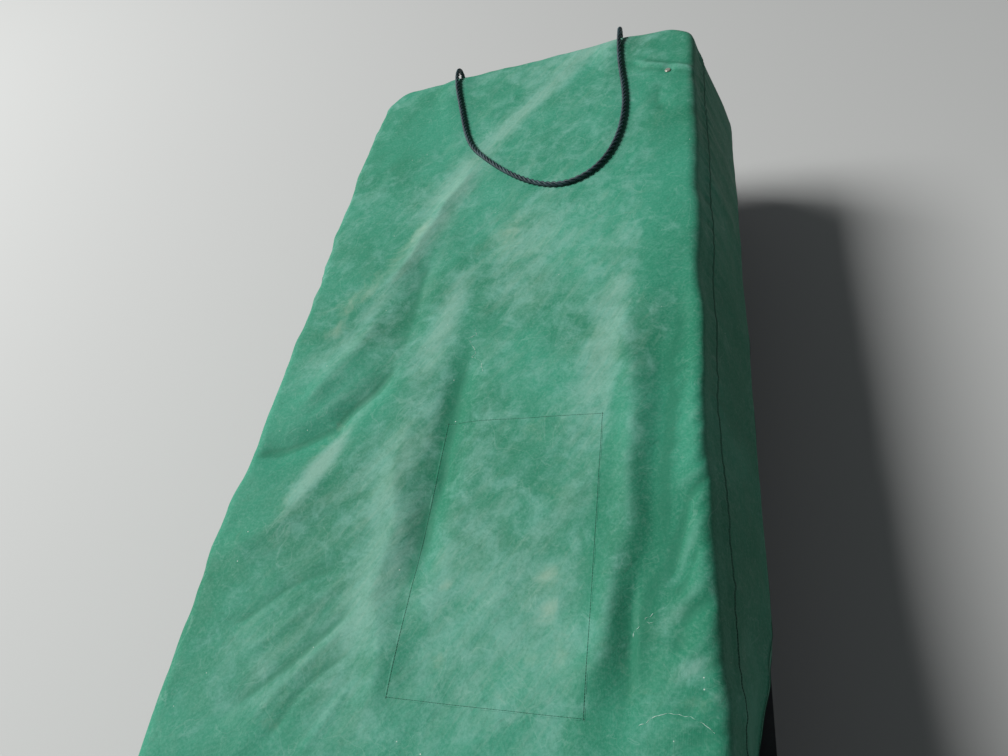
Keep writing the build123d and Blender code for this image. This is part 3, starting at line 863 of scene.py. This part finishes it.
def make_cover():
    """The cover's five panels, each a sheet of its own."""
    base = len(rows) * ring_count
    columns = along_count + 1
    firsts = (base + i * columns + j for i in range(across_count) for j in range(along_count))
    faces = [(a, a + columns, a + columns + 1, a + 1) for a in firsts]
    faces += ring_faces(0, seam_row + 1, range(ring_count))
    mesh = panel_mesh("cover_top_panel", faces, (seam_row - 1, seam_row, seam_row + 1))
    piece = new_piece("cover_top_panel", mesh, canvas, "cover_cloth", "cover_top")
    flats = {"right": (0.24, 2.06), "bow": (0.24, 0.92), "left": (0.20, 2.06), "stern": (0.20, 0.92)}
    for (side, flat), chosen in zip(flats.items(), side_columns()):
        mesh = panel_mesh(f"cover_{side}_panel", ring_faces(seam_row, len(rows) - 1, chosen))
        piece = new_piece(f"cover_{side}_panel", mesh, canvas, "cover_cloth", f"cover_{side}")
        piece.modifiers.new("cloth", "SOLIDIFY").thickness = cloth


def make_patch():
    """The patch: a second layer of canvas that follows the top, a little puffed along its stitched edge."""
    step, border = 5 * MM, 0.8 * MM
    ticks = []
    for half in (patch_width / 2, patch_length / 2):
        inner = np.linspace(border - half, half - border, round(2 * half / step))
        ticks.append(np.concatenate(([-half], inner, [half])))
    x, y = np.meshgrid(*ticks, indexing="ij")
    edge = np.minimum(patch_width / 2 - np.abs(x), patch_length / 2 - np.abs(y))
    puff = 0.15 * MM * value_noise(x + 3, y + 3, 0.03, 31) * rising(0.02, 0.0, edge)
    lift = patch_lift * rising(-1 * MM, 7 * MM, edge)
    x, y = x + patch_x, y + patch_y
    points = np.stack((x, y, surface_z(x, y) + lift + puff), -1).reshape(-1, 3)
    mesh = smooth_mesh("top_patch_cloth", points, grid_faces(*x.shape))
    crest = np.clip(top_crest(x, y) + 0.15 * rising(6 * MM, 0.0, edge), 0, 1)
    add_wear_and_shade(mesh, crest.ravel())
    mesh.flip_normals()
    piece = new_piece("top_patch_cloth", mesh, canvas, "cover_cloth", "top_patch")
    piece.modifiers.new("cloth", "SOLIDIFY").thickness = patch_cloth


def line_mesh(name, lines):
    """A mesh of edges along lines; a line whose ends meet is closed."""
    points, edges = [], []
    for line in lines:
        start = len(points)
        points += [tuple(place) for place in line]
        edges += [(start + i, start + i + 1) for i in range(len(line) - 1)]
    mesh = bpy.data.meshes.new(name)
    mesh.from_pydata(points, edges, [])
    return mesh


def stitch_tree():
    """Geometry nodes that lay short threads along a mesh's edges."""
    tree = bpy.data.node_groups.new("stitches", "GeometryNodeTree")
    tree.interface.new_socket("Geometry", in_out="INPUT", socket_type="NodeSocketGeometry")
    for name in ("Pitch", "Length", "Radius"):
        tree.interface.new_socket(name, in_out="INPUT", socket_type="NodeSocketFloat")
    tree.interface.new_socket("Material", in_out="INPUT", socket_type="NodeSocketMaterial")
    tree.interface.new_socket("Geometry", in_out="OUTPUT", socket_type="NodeSocketGeometry")
    start = add(tree, "NodeGroupInput").outputs
    curve = add(tree, "GeometryNodeMeshToCurve", {"Mesh": start["Geometry"]}).outputs[0]
    values = {"Curve": curve, "Length": start["Pitch"]}
    spots = add(tree, "GeometryNodeCurveToPoints", values, mode="LENGTH").outputs
    values = {"Vertices": 6, "Radius": start["Radius"], "Depth": start["Length"]}
    stitch = add(tree, "GeometryNodeMeshCylinder", values).outputs["Mesh"]
    turn = add(tree, "FunctionNodeAlignEulerToVector", {"Vector": spots["Tangent"]}, axis="Z").outputs[0]
    values = {"Points": spots["Points"], "Instance": stitch, "Rotation": turn}
    laid = add(tree, "GeometryNodeInstanceOnPoints", values).outputs[0]
    real = add(tree, "GeometryNodeRealizeInstances", {"Geometry": laid}).outputs[0]
    ready = add(tree, "GeometryNodeSetMaterial", {"Geometry": real, "Material": start["Material"]}).outputs[0]
    add(tree, "NodeGroupOutput", {"Geometry": ready})
    return tree


def make_stitches(name, lines, size=thread):
    """Rows of thread along lines, laid by geometry nodes and kept as a plain mesh."""
    holder = bpy.data.objects.new(name, line_mesh(name, lines))
    bpy.context.scene.collection.objects.link(holder)
    layer = holder.modifiers.new("stitches", "NODES")
    layer.node_group = stitches
    values = {"Pitch": stitch_pitch, "Length": stitch_length, "Radius": size / 2, "Material": thread_green}
    for socket in stitches.interface.items_tree:
        if socket.name in values:
            layer[socket.identifier] = values[socket.name]
    mesh = bpy.data.meshes.new_from_object(holder.evaluated_get(bpy.context.evaluated_depsgraph_get()))
    bpy.data.objects.remove(holder)
    mesh.shade_smooth()
    new_piece(name, mesh, thread_green, "cover_cloth")


def ring_line(row, share, lift):
    """A closed line round the cover between two rows of its skin, lifted off the cloth."""
    line = ring_places[row] * (1 - share) + ring_places[row + 1] * share + ring_normals[row] * lift
    return np.concatenate((line, line[:1]))


def make_seams():
    """The stitches of the top seam, the hem, the corners and the patch."""
    lap = seam_lap + thread_lift
    make_stitches("top_seam_stitches", [ring_line(seam_row, 0.25, lap), ring_line(seam_row, 0.72, lap)])
    proud = cloth / 2
    band_row, edge_row = rim_row + 3, len(rows) - 2
    make_stitches("hem_stitches", [ring_line(band_row, 0.6, proud), ring_line(edge_row, 0.3, proud)])
    corners = []
    place = 0
    below_seam = seam_row + 2
    for count in (along_count, across_count, along_count, across_count):
        middle = place + count + corner_count // 2
        for column in (middle - 1, middle + 1):
            corners.append(ring_places[below_seam:, column] + ring_normals[below_seam:, column] * proud)
        place += count + corner_count
    make_stitches("corner_stitches", corners)
    half_x = patch_width / 2 - patch_seam
    half_y = patch_length / 2 - patch_seam
    turns = [(-1, -1), (1, -1), (1, 1), (-1, 1), (-1, -1)]
    share = np.linspace(0, 1, 90)
    patch_rows = []
    for (ax, ay), (bx, by) in zip(turns, turns[1:]):
        x = patch_x + half_x * (ax + (bx - ax) * share)
        y = patch_y + half_y * (ay + (by - ay) * share)
        patch_rows.append(np.column_stack((x, y, surface_z(x, y) + patch_lift + thread_lift)))
    make_stitches("patch_stitches", patch_rows, patch_thread)


def make_scratches():
    """Ribbons of bared, frayed coating that lie on the cloth."""
    points, faces = [], []
    for path in scratches:
        path = np.array(path)
        steps = np.concatenate(([0], np.cumsum(np.linalg.norm(np.diff(path, axis=0), axis=1))))
        share = np.arange(0, steps[-1], 2 * MM)
        x, y = np.interp(share, steps, path[:, 0]), np.interp(share, steps, path[:, 1])
        x, y = x + 2 * MM * value_noise(x, y, 0.011, 51), y + 2 * MM * value_noise(x, y, 0.009, 52)
        ways = np.gradient(np.column_stack((x, y)), axis=0)
        ways /= np.linalg.norm(ways, axis=1)[:, None]
        half = MM * np.clip(0.18 + 0.7 * value_noise(x, y, 0.006, 53), 0.02, 0.4)
        for side in (-1, 1):
            sx, sy = x - side * half * ways[:, 1], y + side * half * ways[:, 0]
            points.append(np.column_stack((sx, sy, surface_z(sx, sy) + 0.5 * MM)))
        start = sum(len(p) for p in points[:-2])
        other = start + len(x)
        faces += [(start + i, start + i + 1, other + i + 1, other + i) for i in range(len(x) - 1)]
    mesh = smooth_mesh("bared_coating", np.concatenate(points), faces)
    new_piece("bared_coating", mesh, finishes["bared"], "cover_cloth")


def make_tent_fold():
    """The folded tent between the poles: cloth folds whose top the cover presses down."""
    low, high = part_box("upper_tent_fold")
    counts = (36, 92)
    ticks = (np.linspace(low.x, high.x, counts[0]), np.linspace(low.y, high.y, counts[1]))
    x, y = np.meshgrid(*ticks, indexing="ij")
    rumple = 2 * MM * value_noise(x, y * 3, 0.2, 41)
    top = np.stack((x, y, surface_z(x, y) - 7 * MM + rumple), -1).reshape(-1, 3)
    bottom = np.stack((x, y, np.full(x.shape, low.z + 0.5 * MM)), -1).reshape(-1, 3)
    size = len(top)
    faces = grid_faces(*counts) + [tuple(size + i for i in reversed(face)) for face in grid_faces(*counts)]
    rim = list(range(counts[1])) + [i * counts[1] + counts[1] - 1 for i in range(1, counts[0])]
    rim += [(counts[0] - 1) * counts[1] + j for j in range(counts[1] - 2, -1, -1)]
    rim += [i * counts[1] for i in range(counts[0] - 2, 0, -1)]
    faces += [(a, b, size + b, size + a) for a, b in zip(rim, rim[1:] + rim[:1])]
    mesh = smooth_mesh("upper_tent_layers", np.concatenate((top, bottom)), faces)
    new_piece("upper_tent_layers", mesh, finishes["tent_cloth"], "tent_cloth", "upper_tent_fold")


def make_rope():
    """Three laid strands that twist about the rope's line."""
    ways = np.gradient(rope_line, axis=0)
    ways /= np.linalg.norm(ways, axis=1)[:, None]
    side = np.cross(ways[0], (1, 0, 0))
    # Three touching strands of this radius fill the rope's round
    strand = 0.464 * rope_size / 2
    reach = rope_size / 2 - strand
    round_count = 9
    angles = np.arange(round_count) * 2 * math.pi / round_count
    points = [[], [], []]
    for centre, way, reached in zip(rope_line, ways, rope_reach):
        side = side - way * side.dot(way)
        side /= np.linalg.norm(side)
        other = np.cross(way, side)
        for s in range(3):
            turn = 2 * math.pi * (reached / rope_pitch + s / 3)
            middle = centre + (side * math.cos(turn) + other * math.sin(turn)) * reach
            around = np.outer(np.cos(angles), side) + np.outer(np.sin(angles), other)
            points[s].append(middle + strand * around)
    faces = []
    size = len(rope_line) * round_count
    for s in range(3):
        faces += grid_faces(len(rope_line), round_count, s * size, closed=True)
        faces.append(tuple(s * size + k for k in reversed(range(round_count))))
        faces.append(tuple((s + 1) * size - round_count + k for k in range(round_count)))
    mesh = smooth_mesh("tow_rope_strands", np.concatenate([np.concatenate(p) for p in points]), faces)
    piece = new_piece("tow_rope_strands", mesh, rope_fibre, "rope_fibre", "tow_rope")


def make_stage():
    """A plain pale floor, a pale sky and one soft lamp."""
    mesh = smooth_mesh("floor", [(-9, -9, 0), (9, -9, 0), (9, 9, 0), (-9, 9, 0)], [(0, 1, 2, 3)])
    material, tree, shader = new_material("pale_floor")
    give(tree, shader, {"Base Color": "#C4C5C3", "Roughness": 0.85})
    floor = bpy.data.objects.new("floor", mesh)
    bpy.context.scene.collection.objects.link(floor)
    mesh.materials.append(material)
    world = bpy.data.worlds.new("studio")
    bpy.context.scene.world = world
    world.use_nodes = True
    tree = world.node_tree
    seen = add(tree, "ShaderNodeLightPath").outputs["Is Camera Ray"]
    values = {"Value": seen, "To Min": sky_light, "To Max": sky_seen}
    strength = add(tree, "ShaderNodeMapRange", values).outputs[0]
    give(tree, tree.nodes["Background"], {"Color": "#E6ECF1", "Strength": strength})
    lamp = bpy.data.lights.new("key", "AREA")
    lamp.size = lamp_size
    lamp.energy = lamp_power
    holder = bpy.data.objects.new("key", lamp)
    holder.location = lamp_place
    holder.rotation_euler = (Vector(lamp_aim) - Vector(lamp_place)).to_track_quat("-Z", "Y").to_euler()
    bpy.context.scene.collection.objects.link(holder)


def make_camera():
    """The camera, which stands and looks as the photograph's did."""
    data = bpy.data.cameras.new("camera")
    data.sensor_width = 36
    data.lens = camera_lens
    camera = bpy.data.objects.new("camera", data)
    turn = Matrix((camera_right, camera_up, camera_back)).transposed().to_4x4()
    camera.matrix_world = Matrix.Translation(camera_place) @ turn
    bpy.context.scene.collection.objects.link(camera)
    bpy.context.scene.camera = camera


canvas = make_canvas()
rope_fibre = make_rope_fibre()
# Bonded thread: a darker green than the canvas, and a little glossier
thread_green = make_finish("bonded_thread_dark_green", "#1C4F3E", "#2A6350", 0.6, 0.0, 900, 0.1)
stitches = stitch_tree()
finishes = {
    "sled_shell": make_shell(),
    # Nickel plate on brass: pale and warm; half diffuse, so that its pale colour paints the shine of a
    # reflection
    "snap_metal": make_finish("nickel_plated_brass", "#A9A79C", "#C6C3B6", 0.38, 0.5, 200, 0.1),
    # Powder coat on steel tube: black, with a low even sheen
    "pole_steel": make_finish("powder_coated_steel", "#1B1C1E", "#2A2B2D", 0.45, 0.0, 300, 0.15),
    # Aluminium as it left the mill: pale grey, with a soft shine
    "rail_alloy": make_finish("mill_finish_aluminium", "#A8AAAC", "#C3C5C7", 0.38, 1.0, 150, 0.1),
    # Powder coat on plate: black, and a little duller than the poles
    "bracket_steel": make_finish("powder_coated_plate", "#1C1D1F", "#2B2C2E", 0.48, 0.0, 280, 0.15),
    # Zinc plate on steel: a darker grey than the rail, and a little shinier
    "pin_steel": make_finish("zinc_plated_steel", "#9A9C9E", "#B9BBBD", 0.35, 1.0, 200, 0.1),
    # Woven polyester of the tent: near black and matt
    "tent_cloth": make_finish("folded_tent_polyester", "#14161A", "#23262B", 0.8, 0.0, 120, 0.6),
    "cover_cloth": canvas,
    "rope_fibre": rope_fibre,
    # Threads laid bare where the coat is scratched off: pale and matt
    "bared": make_finish("bared_polyester_threads", "#9AC3B2", "#C0D9CB", 0.8, 0.0, 600, 0.1),
}
for part in frame["record"]["subparts"]:
    mesh = frame["nodes"][part["node"]].data
    mesh.materials.clear()
    mesh.materials.append(finishes[part["material_slot"]])

make_cover()
make_patch()
make_seams()
make_scratches()
make_tent_fold()
make_rope()
make_stage()
make_camera()
bpy.context.scene.view_settings.view_transform = "Standard"
